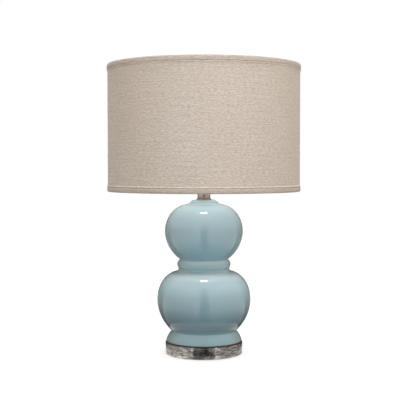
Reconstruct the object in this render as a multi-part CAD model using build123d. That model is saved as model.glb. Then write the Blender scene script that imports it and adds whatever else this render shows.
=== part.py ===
"""Table lamp: a double gourd of glazed ceramic on a clear acrylic disc, under a linen drum shade.

Sizes are in millimetres and +Z is up. The origin lies on the lamp's axis at the level of the
table, and -Y is the front, so the cord's way in is at the back. One length of lamp pipe clamps the
base, the ceramic, the metal neck and the socket together. The harp hooks onto the saddle under
the socket and carries the shade, which the finial holds down.
"""
import math
import os
from build123d import *

# Clearances
running_gap = 0.05        # round a shaft that turns or slides in its bore
passing_gap = 0.3         # between pieces that move past each other
hole_gap = 0.25           # round a piece that is clamped in a hole
glue_gap = 0.05           # between layers that are glued

# Bumper feet: clear self-adhesive discs
bumper_count = 4
bumper_radius = 6.0
bumper_height = 1.5
bumper_edge_radius = 0.4
bumper_circle_radius = 62.0

# Acrylic base: a thick disc, with a pocket underneath for the nut
base_radius = 77.0
base_thickness = 23.2
base_edge_radius = 1.2
pocket_radius = 23.0
pocket_depth = 14.0

# Gasket between the acrylic and the ceramic
gasket_radius = 75.0
gasket_width = 12.0
gasket_thickness = 1.6

# Ceramic body, from its foot ring up: each height is that of one stretch of the outline
wall = 6.0
foot_land_radius = 73.4
foot_radius = 75.6
foot_edge_height = 2.0
foot_ring_height = 18.7
foot_ring_bulge = 1.2
foot_crease_radius = 64.4
foot_wall = 10.0
lower_radius = 93.3
lower_rise_below = 63.0
lower_rise_above = 55.1
lower_depth_below = 120.9  # how far in from the belly the centre of its curve lies
lower_depth_above = 42.7
shoulder_radius = 57.6
waist_cove_height = 4.9
waist_radius = 50.7
waist_band_height = 1.8
waist_ring_height = 17.8
waist_ring_bulge = 3.9
upper_crease_radius = 47.9
upper_radius = 77.5
upper_rise_below = 56.7
upper_rise_above = 52.3
upper_depth_below = 80.0
upper_depth_above = 46.8
collar_cove_radius = 38.2
collar_cove_height = 3.9
collar_cove_sag = 0.9
collar_root_radius = 28.8
collar_height = 5.7
collar_top_radius = 19.5
collar_bulge = 0.9
collar_hole_radius = 10.2

# Bushing for the cord, low in the back of the lower gourd
inlet_height = 32.4        # above the underside of the ceramic
inlet_hole_radius = 5.2
bushing_bore_radius = 3.3
bushing_flange_radius = 7.5
bushing_flange_height = 1.6
bushing_tail = 2.0

# Lamp pipe and what it clamps
pipe_radius = 4.9
pipe_bore_radius = 3.3
pipe_tail = 1.8            # below the base nut
pipe_grip = 6.0            # inside the hub of the socket cap
washer_radius = 19.0
washer_thickness = 1.6
lock_washer_radius = 8.6
lock_washer_thickness = 1.2
nut_across_flats = 14.3
base_nut_height = 4.8
saddle_nut_height = 3.2
centring_height = 4.0

# Metal neck between the ceramic and the saddle
neck_height = 17.8
neck_flange_radius = 15.0
neck_flange_height = 2.6
neck_flange_edge = 1.1
neck_cove_height = 2.4
neck_radius = 13.4

# Saddle, whose tabs the harp's feet straddle
saddle_thickness = 1.6
saddle_width = 12.7
saddle_span = 54.0
saddle_bend_radius = 3.2
saddle_rise = 6.6          # from the neck to the shoulders that carry the harp
tab_width = 4.0
tab_height = 9.6

# Harp
harp_height = 228.6        # from the saddle's shoulders to the seat of the shade
harp_wire_radius = 1.8
harp_foot_radius = 3.3
harp_foot_height = 12.6
harp_leg_height = 38.0
harp_flare_height = 43.0
harp_side_height = 56.4
harp_half_width = 57.0
harp_crown_half_width = 20.0
harp_ankle_bend = 18.0
harp_hip_bend = 80.0
harp_shoulder_bend = 150.0
harp_crown_bend = 24.0
eye_radius = 7.5
eye_thickness = 4.0
sleeve_wall = 0.9
sleeve_length = 14.0

# Swivel stud in the harp's eye
stud_radius = 3.15
stud_collar_radius = 5.0
stud_collar_height = 4.4
rivet_radius = 5.2
rivet_height = 2.0
stud_thread_length = 13.0  # above the shade's hub

# Socket
cap_radius = 17.75
cap_metal = 0.8
cap_hub_radius = 7.5
cap_hub_height = 6.0
cap_dome_height = 10.0
cap_rim_height = 6.0
shell_metal = 0.6
shell_length = 44.0
shell_bead_radius = 0.9
liner_wall = 0.6
liner_stand = 1.2          # the paper stands this far above the shell
core_height = 18.0
core_foot = 5.0            # from the cap's floor to the core
screw_shell_metal = 0.5
screw_shell_length = 24.0
contact_width = 7.0
contact_height = 1.4
contact_length = 15.0
set_screw_radius = 2.4
set_screw_head = 1.8
set_screw_shank_radius = 1.5
terminal_radius = 3.4
terminal_height = 1.8
terminal_shank_radius = 1.6
terminal_shank_length = 4.0

# Switch key
key_height = 14.0          # of its spindle, above the foot of the core
spindle_radius = 1.6
spindle_depth = 9.0        # in the core
knob_radius = 6.0
knob_tip_radius = 5.0
knob_length = 12.0
knob_stand = 3.0           # off the shell
knob_flutes = 12
knob_flute_radius = 0.7

# Bulb
bulb_screw_radius = 12.9
bulb_screw_length = 20.0
bulb_insulator_height = 3.6
bulb_insulator_foot_radius = 5.6
bulb_button_radius = 4.6
bulb_button_height = 1.2
bulb_neck_radius = 13.4
bulb_neck_height = 3.0
bulb_cove_radius = 60.0
bulb_radius = 30.0
bulb_glass = 1.0
bulb_glass_seat = 5.0      # length of glass neck inside the metal screw

# Shade
shade_radius = 190.6
shade_height = 249.5
spider_drop = 13.7         # from the top edge down to the hub's seat
linen = 0.8
liner_styrene = 0.5
shade_wire_radius = 1.6
trim_thickness = 1.2
trim_fold = 0.9
trim_edge_radius = 0.8
top_trim_height = 9.0
bottom_trim_height = 10.1
trim_tuck = 6.0            # height of the tape's inner leg
spider_arms_count = 3
spider_wire_radius = 1.9
spider_hub_radius = 12.5
spider_hub_thickness = 2.0
spider_hole_radius = 3.6
spider_weld_radius = 7.4   # where the arms begin under the hub
spider_bend_inset = 17.0   # from the ring in to where the arms turn up
spider_bend_radius = 14.0

# Finial
finial_height = 21.0
finial_foot_radius = 7.0
finial_foot_height = 2.0
finial_waist_radius = 4.4
finial_ball_radius = 7.2

# Heights, from the table up
base_z = bumper_height
base_top_z = base_z + base_thickness
pocket_z = base_z + pocket_depth
ceramic_z = base_top_z + gasket_thickness
foot_wide_z = ceramic_z + foot_edge_height
foot_crease_z = foot_wide_z + foot_ring_height
lower_mid_z = foot_crease_z + lower_rise_below
shoulder_z = lower_mid_z + lower_rise_above
waist_z = shoulder_z + waist_cove_height
ring_z = waist_z + waist_band_height
upper_crease_z = ring_z + waist_ring_height
upper_mid_z = upper_crease_z + upper_rise_below
collar_cove_z = upper_mid_z + upper_rise_above
collar_root_z = collar_cove_z + collar_cove_height
neck_z = collar_root_z + collar_height
saddle_z = neck_z + neck_height
harp_seat_z = saddle_z + saddle_rise
saddle_nut_z = saddle_z + saddle_thickness
cap_z = saddle_nut_z + saddle_nut_height
cap_floor_z = cap_z + cap_hub_height
cap_top_z = cap_floor_z + cap_dome_height + cap_rim_height
core_z = cap_floor_z + cap_metal + core_foot
core_top_z = core_z + core_height
shell_z = cap_top_z - cap_rim_height
shell_top_z = shell_z + shell_length
key_z = core_z + key_height
contact_top_z = core_top_z + contact_height
shade_seat_z = harp_seat_z + harp_height
shade_top_z = shade_seat_z + spider_drop
shade_bottom_z = shade_top_z - shade_height
finial_z = shade_seat_z + spider_hub_thickness

# Radii that follow from a piece's neighbour
shell_radius = cap_radius - cap_metal - hole_gap
liner_radius = shell_radius - shell_metal - hole_gap
core_radius = liner_radius - liner_wall - hole_gap
screw_shell_radius = bulb_screw_radius + passing_gap
linen_inside = shade_radius - linen
styrene_radius = linen_inside - glue_gap
styrene_inside = styrene_radius - liner_styrene
shade_ring_radius = styrene_inside - hole_gap - shade_wire_radius


def lathe(*outline):
    """Turn a closed outline of (radius, height) curves about the lamp's axis."""
    return revolve(Plane.XZ * make_face(Curve() + list(outline)), Axis.Z)


def turned(points, place=Location()):
    """Turn a closed polygon of (radius, height) points, and put the result at a place."""
    return place * revolve(Plane.XZ * make_face(Polyline(*points, close=True)), Axis.Z)


def tube(outer, inner, low, high):
    """A plain round tube or washer on the lamp's axis."""
    return turned([(inner, low), (outer, low), (outer, high), (inner, high)])


def swell(radius, mid_z, end_radius, end_z, depth):
    """A gourd's curve from its widest point, where it is upright, to a given end."""
    turn = math.acos((end_radius - radius + depth) / depth)
    rise = (end_z - mid_z) / math.sin(turn)
    sweep_angle = math.copysign(math.degrees(turn), rise)
    return EllipticalCenterArc((radius - depth, mid_z), depth, abs(rise), arc_size=sweep_angle)


def bowed(start, end, bow):
    """An arc between two points that stands a given height off its chord, to the right."""
    (x0, y0), (x1, y1) = start, end
    length = math.hypot(x1 - x0, y1 - y0)
    middle = ((x0 + x1) / 2 + bow * (y1 - y0) / length, (y0 + y1) / 2 - bow * (x1 - x0) / length)
    return ThreePointArc(start, middle, end)


def bumper_feet():
    """Four small discs near the edge of the base."""
    foot = extrude(Circle(bumper_radius), bumper_height)
    foot = fillet(foot.edges().group_by(Axis.Z)[0], bumper_edge_radius)
    turn = 360 / bumper_count
    places = [Rot(0, 0, turn * (n + 0.5)) * Pos(bumper_circle_radius) for n in range(bumper_count)]
    return [place * foot for place in places]


def acrylic_base():
    """A thick clear disc with rounded rims, a pocket below and a hole for the pipe."""
    disc = tube(base_radius, pipe_radius + hole_gap, base_z, base_top_z)
    rims = disc.edges().filter_by(GeomType.CIRCLE).filter_by(lambda e: e.radius > pocket_radius)
    disc = fillet(rims, base_edge_radius)
    return disc - Pos(0, 0, base_z) * extrude(Circle(pocket_radius), pocket_depth)


def base_gasket():
    """A thin dark ring under the foot of the ceramic."""
    return tube(gasket_radius, gasket_radius - gasket_width, base_top_z, ceramic_z)


def ceramic_outside():
    """The outline of the ceramic from the edge of its foot up to the rim of its collar."""
    return [
        bowed((foot_land_radius, ceramic_z), (foot_radius, foot_wide_z), foot_edge_height / 4),
        bowed((foot_radius, foot_wide_z), (foot_crease_radius, foot_crease_z), foot_ring_bulge),
        swell(lower_radius, lower_mid_z, foot_crease_radius, foot_crease_z, lower_depth_below),
        swell(lower_radius, lower_mid_z, shoulder_radius, shoulder_z, lower_depth_above),
        bowed((shoulder_radius, shoulder_z), (waist_radius, waist_z), -waist_cove_height / 4),
        Line((waist_radius, waist_z), (waist_radius, ring_z)),
        bowed((waist_radius, ring_z), (upper_crease_radius, upper_crease_z), waist_ring_bulge),
        swell(upper_radius, upper_mid_z, upper_crease_radius, upper_crease_z, upper_depth_below),
        swell(upper_radius, upper_mid_z, collar_cove_radius, collar_cove_z, upper_depth_above),
        bowed((collar_cove_radius, collar_cove_z), (collar_root_radius, collar_root_z), -collar_cove_sag),
        bowed((collar_root_radius, collar_root_z), (collar_top_radius, neck_z), collar_bulge),
    ]


def ceramic_inside():
    """The outline of the hollow, a wall's thickness inside the outer one."""
    foot_inside = (foot_land_radius - foot_wall, ceramic_z)
    crease = (foot_crease_radius - wall, foot_crease_z)
    shoulder = (shoulder_radius, shoulder_z - wall)
    waist_low = (upper_crease_radius - wall, waist_z)
    waist_high = (upper_crease_radius - wall, upper_crease_z)
    ceiling_z = collar_cove_z - wall
    lower_in, upper_in = lower_radius - wall, upper_radius - wall
    return [
        Line(foot_inside, crease),
        swell(lower_in, lower_mid_z, *crease, lower_depth_below - wall),
        swell(lower_in, lower_mid_z, *shoulder, lower_depth_above - wall),
        Line(shoulder, waist_low),
        Line(waist_low, waist_high),
        swell(upper_in, upper_mid_z, *waist_high, upper_depth_below - wall),
        swell(upper_in, upper_mid_z, collar_cove_radius, ceiling_z, upper_depth_above - wall),
        Line((collar_cove_radius, ceiling_z), (collar_hole_radius, ceiling_z)),
        Line((collar_hole_radius, ceiling_z), (collar_hole_radius, neck_z)),
    ]


def inlet_axis():
    """The place on the back of the lower gourd where the cord comes in, square to the wall."""
    z = ceramic_z + inlet_height
    turn = math.acos((foot_crease_radius - lower_radius + lower_depth_below) / lower_depth_below)
    semi_height = lower_rise_below / math.sin(turn)
    share = (lower_mid_z - z) / semi_height
    y = lower_radius - lower_depth_below + lower_depth_below * math.sqrt(1 - share**2)
    out = (y - lower_radius + lower_depth_below) / lower_depth_below**2
    down = (z - lower_mid_z) / semi_height**2
    return Plane(origin=(0, y, z), z_dir=(0, out, down), x_dir=(1, 0, 0))


def ceramic_body():
    """The slip-cast double gourd, open below, with its collar, waist ring and cord hole."""
    rims = [
        Line((foot_land_radius - foot_wall, ceramic_z), (foot_land_radius, ceramic_z)),
        Line((collar_hole_radius, neck_z), (collar_top_radius, neck_z)),
    ]
    body = lathe(*ceramic_outside(), *ceramic_inside(), *rims)
    hole = inlet_axis() * Pos(0, 0, -2 * wall) * extrude(Circle(inlet_hole_radius), 4 * wall)
    return body - hole


def cord_bushing(ceramic):
    """A plastic bushing whose flange follows the curve of the wall that it sits in."""
    sleeve_radius = inlet_hole_radius - hole_gap / 2
    sleeve = Pos(0, 0, -wall - bushing_tail) * extrude(Circle(sleeve_radius), wall + bushing_tail)
    flange = Pos(0, 0, -bushing_tail) * extrude(
        Circle(bushing_flange_radius), bushing_tail + bushing_flange_height
    )
    flange = fillet(flange.edges().group_by(Axis.Z)[-1], bushing_flange_height / 2)
    bore = Pos(0, 0, -3 * wall) * extrude(Circle(bushing_bore_radius), 6 * wall)
    placed = inlet_axis() * (sleeve + flange - bore) - ceramic
    return max(placed.solids(), key=lambda solid: solid.volume)


def lamp_pipe():
    """The pipe that clamps everything from the base nut to the socket cap."""
    return tube(pipe_radius, pipe_bore_radius, nut_z() - pipe_tail, cap_z + pipe_grip)


def nut_z():
    """The underside of the base nut, which hangs below its washers in the pocket."""
    return pocket_z - washer_thickness - lock_washer_thickness - base_nut_height


def hex_nut(low, height):
    """A hexagonal nut on the pipe, its corners turned off."""
    hexagon = extrude(RegularPolygon(nut_across_flats / 2, 6, major_radius=False), height)
    corner = nut_across_flats / math.sqrt(3)
    cone = Solid.make_cone(corner + height, nut_across_flats / 2, height + corner - nut_across_flats / 2)
    return Pos(0, 0, low) * ((hexagon & cone) - extrude(Circle(pipe_radius + hole_gap), height))


def neck():
    """A turned spool: two flanges with a plain waist between."""
    low_cove = neck_z + neck_flange_height + neck_cove_height
    high_cove = saddle_z - neck_flange_height - neck_cove_height
    bore = pipe_radius + hole_gap
    spool = lathe(
        Line((bore, neck_z), (neck_flange_radius, neck_z)),
        Line((neck_flange_radius, neck_z), (neck_flange_radius, neck_z + neck_flange_height)),
        bowed((neck_flange_radius, neck_z + neck_flange_height), (neck_radius, low_cove), -0.4),
        Line((neck_radius, low_cove), (neck_radius, high_cove)),
        bowed((neck_radius, high_cove), (neck_flange_radius, saddle_z - neck_flange_height), -0.4),
        Line((neck_flange_radius, saddle_z - neck_flange_height), (neck_flange_radius, saddle_z)),
        Line((neck_flange_radius, saddle_z), (bore, saddle_z)),
        Line((bore, saddle_z), (bore, neck_z)),
    )
    corners = spool.edges().filter_by(GeomType.CIRCLE)
    corners = corners.filter_by(lambda e: abs(e.radius - neck_flange_radius) < 0.01)
    return fillet(corners, neck_flange_edge)


def harp_saddle():
    """A strip bent up at both ends, with a narrow tab standing on each shoulder."""
    half = saddle_span / 2
    middle_z = saddle_z + saddle_thickness / 2
    top_z = harp_seat_z + tab_height
    spine = FilletPolyline(
        (-half, top_z), (-half, middle_z), (half, middle_z), (half, top_z), radius=saddle_bend_radius
    )
    strip = extrude(Plane.XZ * trace(spine, saddle_thickness), saddle_width / 2, both=True)
    ear = Box(2 * saddle_bend_radius, saddle_width, 2 * tab_height)
    side = (saddle_width + tab_width) / 2
    for x in (-half, half):
        for y in (-side, side):
            strip -= Pos(x, y, harp_seat_z + tab_height) * ear
    return strip - Pos(0, 0, saddle_z) * extrude(Circle(pipe_radius + hole_gap), saddle_thickness)


def socket_cap():
    """The dome-shaped lower half of the socket, with its hub on the pipe."""
    rim_z = cap_floor_z + cap_dome_height
    inner = cap_radius - cap_metal
    floor_z = cap_floor_z + cap_metal
    bore = pipe_radius + hole_gap / 2
    cap = lathe(
        Line((bore, cap_z), (cap_hub_radius, cap_z)),
        Line((cap_hub_radius, cap_z), (cap_hub_radius, cap_floor_z)),
        bowed((cap_hub_radius, cap_floor_z), (cap_radius, rim_z), cap_dome_height / 4),
        Line((cap_radius, rim_z), (cap_radius, cap_top_z)),
        Line((cap_radius, cap_top_z), (inner, cap_top_z)),
        Line((inner, cap_top_z), (inner, rim_z)),
        bowed((inner, rim_z), (cap_hub_radius, floor_z), -cap_dome_height / 4),
        Line((cap_hub_radius, floor_z), (bore, floor_z)),
        Line((bore, floor_z), (bore, cap_z)),
    )
    drill = extrude(Circle(set_screw_shank_radius + hole_gap / 2), cap_hub_radius - bore, both=True)
    return cap - set_screw_place() * drill


def set_screw_place():
    """The back of the cap's hub, half way up, square to its side."""
    return Plane(origin=(0, cap_hub_radius, cap_z + cap_hub_height / 2), z_dir=(0, 1, 0))


def socket_set_screw():
    """The screw that stops the socket from turning on the pipe."""
    head = extrude(Circle(set_screw_radius), set_screw_head)
    head -= Pos(0, 0, set_screw_head) * Box(2 * set_screw_radius, 0.7, 1.2)
    length = cap_hub_radius - pipe_radius - hole_gap
    shank = Pos(0, 0, -length) * extrude(Circle(set_screw_shank_radius), length)
    return set_screw_place() * (head + shank)


def key_plane(y):
    """A plane across the key's spindle at some distance in front of the lamp's axis."""
    return Plane(origin=(0, -y, key_z), z_dir=(0, -1, 0), x_dir=(1, 0, 0))


def key_hole(radius):
    """The cut that lets the key's spindle through the front of the socket."""
    return key_plane(core_radius - 1) * extrude(Circle(radius), cap_radius)


def socket_shell():
    """The upper half of the socket, with a rolled bead at its mouth."""
    shell = tube(shell_radius, shell_radius - shell_metal, shell_z, shell_top_z)
    bead_place = Pos(0, 0, shell_top_z - shell_bead_radius)
    bead = bead_place * Torus(shell_radius, shell_bead_radius)
    core = Pos(0, 0, shell_z) * extrude(Circle(shell_radius - shell_metal), shell_length)
    return shell + (bead - core) - key_hole(2 * spindle_radius)


def socket_liner():
    """The paper sleeve that keeps the live parts off the metal shell."""
    sleeve = tube(liner_radius, liner_radius - liner_wall, shell_z, shell_top_z + liner_stand)
    return sleeve - key_hole(1.7 * spindle_radius)


def terminal_places():
    """Flat spots on both sides of the core, for its terminal screws."""
    flat = core_radius - terminal_height - 1
    height = core_z + core_height / 2
    return [Plane(origin=(side * flat, 0, height), z_dir=(side, 0, 0)) for side in (-1, 1)]


def socket_core():
    """The moulded switch body, drilled for the spindle and notched for two terminals."""
    core = Pos(0, 0, core_z) * extrude(Circle(core_radius), core_height)
    core -= key_plane(core_radius - spindle_depth) * extrude(
        Circle(spindle_radius + running_gap), 2 * spindle_depth
    )
    for place in terminal_places():
        core -= place * extrude(Rectangle(2.6 * terminal_radius, core_height + 1), core_radius)
        drill = Circle(terminal_shank_radius + hole_gap / 2)
        core -= place * Pos(0, 0, -terminal_shank_length) * extrude(drill, terminal_shank_length)
    return core


def terminal_screws():
    """Two slotted screws, one for each lead of the cord."""
    head = extrude(Circle(terminal_radius), terminal_height)
    head -= Pos(0, 0, terminal_height) * Box(2 * terminal_radius, 0.8, 1.2)
    shank = Pos(0, 0, -terminal_shank_length) * extrude(
        Circle(terminal_shank_radius), terminal_shank_length
    )
    return [place * (head + shank) for place in terminal_places()]


def screw_shell():
    """The threaded metal cup that takes the bulb, shown without its thread."""
    outer = screw_shell_radius + screw_shell_metal
    return tube(outer, screw_shell_radius, core_top_z, core_top_z + screw_shell_length)


def centre_contact():
    """The brass tongue on top of the core that the bulb presses on."""
    tongue = Box(contact_length, contact_width, contact_height)
    return Pos(0, 0, core_top_z + contact_height / 2) * tongue


def switch_spindle():
    """The shaft between the switch in the core and the knob."""
    reach = shell_radius + knob_stand + knob_length / 2
    start = core_radius - spindle_depth + 1
    return key_plane(start) * extrude(Circle(spindle_radius), reach - start)


def switch_knob():
    """A fluted, slightly tapered knob."""
    points = [(0, 0), (knob_radius, 0), (knob_tip_radius, knob_length), (0, knob_length)]
    knob = turned(points)
    knob = fillet(knob.edges().filter_by(GeomType.CIRCLE).group_by(Axis.Z)[-1], 1.0)
    flute = extrude(Circle(knob_flute_radius), knob_length)
    for n in range(knob_flutes):
        knob -= Rot(0, 0, n * 360 / knob_flutes) * Pos(knob_radius, 0, knob_length / 6) * flute
    knob -= extrude(Circle(spindle_radius), knob_length / 2)
    return key_plane(shell_radius + knob_stand) * knob


def bulb_levels():
    """The heights of the bulb's button, insulator, screw and glass, from its tip up."""
    insulator_z = contact_top_z + bulb_button_height
    screw_z = insulator_z + bulb_insulator_height
    glass_z = screw_z + bulb_screw_length
    return insulator_z, screw_z, glass_z


def bulb_contact():
    """The button and the dark insulator at the bottom of the bulb."""
    insulator_z, screw_z, _ = bulb_levels()
    return turned(
        [
            (0, contact_top_z),
            (bulb_button_radius, contact_top_z),
            (bulb_button_radius, insulator_z),
            (bulb_insulator_foot_radius, insulator_z),
            (bulb_screw_radius - 1, screw_z),
            (0, screw_z),
        ]
    )


def bulb_screw():
    """The metal screw of the bulb, a cup shown without its thread."""
    _, screw_z, glass_z = bulb_levels()
    cup = Pos(0, 0, screw_z) * extrude(Circle(bulb_screw_radius), bulb_screw_length)
    seat_z = glass_z - bulb_glass_seat
    seat_radius = bulb_screw_radius - 1
    return cup - Pos(0, 0, seat_z) * extrude(Circle(seat_radius), bulb_glass_seat)


def bulb_outline(shrink):
    """Half of the bulb's outline: a neck, a cove and a ball, drawn in by a wall if asked."""
    glass_z = bulb_levels()[2]
    neck = bulb_neck_radius - shrink
    ball = bulb_radius - shrink
    cove = bulb_cove_radius + shrink
    cove_z = glass_z + bulb_neck_height
    gap = math.sqrt((ball + cove) ** 2 - (neck + cove) ** 2)
    ball_z = cove_z + gap
    meet = ball / (ball + cove)
    meet_point = (meet * (neck + cove), ball_z - meet * gap)
    half_turn = math.atan2(gap, neck + cove) / 2
    cove_middle = (
        neck + cove - cove * math.cos(half_turn),
        cove_z + cove * math.sin(half_turn),
    )
    slope = math.atan2(meet_point[1] - ball_z, meet_point[0])
    ball_middle = (
        ball * math.cos((slope + math.pi / 2) / 2),
        ball_z + ball * math.sin((slope + math.pi / 2) / 2),
    )
    curves = [
        Line((neck, glass_z), (neck, cove_z)),
        ThreePointArc((neck, cove_z), cove_middle, meet_point),
        ThreePointArc(meet_point, ball_middle, (0, ball_z + ball)),
    ]
    return curves, ball_z + ball


def bulb_envelope():
    """The frosted glass of the bulb, seated in the rim of its metal screw."""
    glass_z = bulb_levels()[2]
    outer, top = bulb_outline(0)
    inner, inner_top = bulb_outline(bulb_glass)
    seat = bulb_screw_radius - 1 - hole_gap
    seat_z = glass_z - bulb_glass_seat
    bore = bulb_neck_radius - bulb_glass
    sleeve = seat - bulb_glass
    return lathe(
        *outer,
        Line((0, top), (0, inner_top)),
        *inner,
        Line((bore, glass_z), (sleeve, glass_z)),
        Line((sleeve, glass_z), (sleeve, seat_z)),
        Line((sleeve, seat_z), (seat, seat_z)),
        Line((seat, seat_z), (seat, glass_z)),
        Line((seat, glass_z), (bulb_neck_radius, glass_z)),
    )


def harp_eye_z():
    """The middle of the eye at the top of the harp, below the stud's collar."""
    return shade_seat_z - stud_collar_height - passing_gap - eye_thickness / 2


def harp():
    """A bent wire with a slotted foot on each end and an eye at its crown."""
    half = saddle_span / 2
    leg_z = harp_seat_z + harp_leg_height
    flare_z = leg_z + harp_flare_height
    side_z = flare_z + harp_side_height
    foot_top_z = harp_seat_z + harp_foot_height
    right = [
        (half, foot_top_z),
        (half, leg_z),
        (harp_half_width, flare_z),
        (harp_half_width, side_z),
        (harp_crown_half_width, harp_eye_z()),
    ]
    left = [(-x, z) for x, z in reversed(right)]
    bends = [harp_ankle_bend, harp_hip_bend, harp_shoulder_bend, harp_crown_bend]
    path = Plane.XZ * FilletPolyline(*right, *left, radius=bends + bends[::-1])
    wire = sweep(Plane(origin=path @ 0, z_dir=path % 0) * Circle(harp_wire_radius), path=path)
    foot = extrude(Circle(harp_foot_radius), harp_foot_height)
    foot = fillet(foot.edges().group_by(Axis.Z)[-1], harp_foot_radius / 4)
    slot_width = saddle_thickness + 2 * passing_gap
    slot_height = tab_height + passing_gap
    slot = Pos(0, 0, slot_height / 2) * Box(slot_width, 3 * harp_foot_radius, slot_height)
    for x in (-half, half):
        wire += Pos(x, 0, harp_seat_z) * (foot - slot)
    eye_place = Pos(0, 0, harp_eye_z() - eye_thickness / 2)
    hole = extrude(Circle(stud_radius + running_gap), eye_thickness)
    return wire + eye_place * extrude(Circle(eye_radius), eye_thickness) - eye_place * hole


def harp_sleeve(side):
    """A thimble that drops over the harp's foot and locks it to the saddle."""
    inner = harp_foot_radius + passing_gap
    sleeve = tube(inner + sleeve_wall, inner, harp_seat_z, harp_seat_z + sleeve_length)
    sleeve = Pos(side * saddle_span / 2, 0, 0) * sleeve
    rims = sleeve.edges().filter_by(GeomType.CIRCLE)
    return fillet(rims.filter_by(lambda e: e.radius > inner + sleeve_wall / 2), sleeve_wall / 3)


def swivel_stud():
    """The riveted stud that turns in the harp's eye and carries the shade and the finial."""
    eye_low = harp_eye_z() - eye_thickness / 2
    eye_high = harp_eye_z() + eye_thickness / 2
    rivet_top = eye_low - passing_gap
    return turned(
        [
            (0, rivet_top - rivet_height),
            (rivet_radius, rivet_top - rivet_height),
            (rivet_radius, rivet_top),
            (stud_radius, rivet_top),
            (stud_radius, eye_high + passing_gap),
            (stud_collar_radius, eye_high + passing_gap),
            (stud_collar_radius, shade_seat_z),
            (stud_radius, shade_seat_z),
            (stud_radius, finial_z + stud_thread_length),
            (0, finial_z + stud_thread_length),
        ]
    )


def spider_hub():
    """The washer that sits on the stud's collar."""
    return tube(spider_hub_radius, spider_hole_radius, shade_seat_z, finial_z)


def ring_z_values():
    """The middle of the top wire ring, and of the bottom one."""
    fold = trim_fold + shade_wire_radius
    return shade_top_z - fold, shade_bottom_z + fold


def spider_arms():
    """Wires from under the hub that turn up to the top ring, and end against it."""
    arm_z = shade_seat_z - spider_wire_radius
    top_ring_z = ring_z_values()[0]
    bend_radius = shade_ring_radius - spider_bend_inset
    path = Plane.XZ * FilletPolyline(
        (spider_weld_radius, arm_z), (bend_radius, arm_z), (shade_ring_radius, top_ring_z),
        radius=spider_bend_radius,
    )
    arm = sweep(Plane(origin=path @ 0, z_dir=path % 0) * Circle(spider_wire_radius), path=path)
    arm -= Pos(0, 0, top_ring_z) * Torus(shade_ring_radius, shade_wire_radius + glue_gap)
    arm = max(arm.solids(), key=lambda solid: solid.volume)
    turn = 360 / spider_arms_count
    return [Rot(0, 0, 90 + turn * n) * arm for n in range(spider_arms_count)]


def shade_rings():
    """The wire rings that stiffen the top and the bottom of the shade."""
    return [Pos(0, 0, z) * Torus(shade_ring_radius, shade_wire_radius) for z in ring_z_values()]


def shade_liner():
    """The stiff styrene drum."""
    return tube(styrene_radius, styrene_inside, shade_bottom_z + trim_fold, shade_top_z - trim_fold)


def shade_fabric():
    """The linen on the outside of the drum."""
    return tube(shade_radius, linen_inside, shade_bottom_z + trim_fold, shade_top_z - trim_fold)


def folded_trim(height):
    """Fabric tape folded over a rim: its top is at zero and its outer leg hangs down."""
    outside = shade_radius + glue_gap + trim_thickness
    inside = shade_ring_radius - shade_wire_radius - trim_thickness
    leg = glue_gap + shade_radius
    tuck = inside + trim_fold
    points = [
        (inside, 0), (outside, 0), (outside, -height), (leg, -height),
        (leg, -trim_fold), (tuck, -trim_fold), (tuck, -trim_tuck), (inside, -trim_tuck),
    ]
    tape = turned(points)
    corners = tape.edges().filter_by(GeomType.CIRCLE)
    corners = corners.filter_by(lambda e: e.radius > outside - 0.01 or e.radius < inside + 0.01)
    return fillet(corners.group_by(Axis.Z)[-1], trim_edge_radius)


def top_trim(arms):
    """The tape on the top rim, slit where the spider's arms pass."""
    tape = Pos(0, 0, shade_top_z) * folded_trim(top_trim_height)
    slot = Box(4 * trim_tuck, 2 * spider_wire_radius + 2 * glue_gap, 2 * trim_tuck)
    low = shade_ring_radius - shade_wire_radius - 2 * trim_tuck
    for arm in arms:
        angle = math.atan2(arm.center().Y, arm.center().X)
        place = Rot(0, 0, math.degrees(angle)) * Pos(low, 0, shade_top_z - trim_fold - trim_tuck)
        tape -= place * slot
    return tape


def bottom_trim():
    """The same tape turned over, on the bottom rim."""
    return mirror(folded_trim(bottom_trim_height), Plane.XY).moved(Location((0, 0, shade_bottom_z)))


def finial():
    """A turned finial: a foot, a slim waist and a ball, bored for the stud."""
    ball_z = finial_height - finial_ball_radius
    foot = (finial_waist_radius, finial_foot_height)
    sink = math.sqrt(finial_ball_radius**2 - finial_waist_radius**2)
    waist_top = (finial_waist_radius, ball_z - sink)
    outline = [
        Line((0, 0), (finial_foot_radius, 0)),
        bowed((finial_foot_radius, 0), (finial_foot_radius, finial_foot_height), 0.5),
        Line((finial_foot_radius, finial_foot_height), foot),
        bowed(foot, waist_top, -0.5),
        ThreePointArc(waist_top, (finial_ball_radius, ball_z), (0, finial_height)),
        Line((0, finial_height), (0, 0)),
    ]
    bore = extrude(Circle(stud_radius + running_gap), stud_thread_length + passing_gap)
    return Pos(0, 0, finial_z) * (lathe(*outline) - bore)


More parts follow.
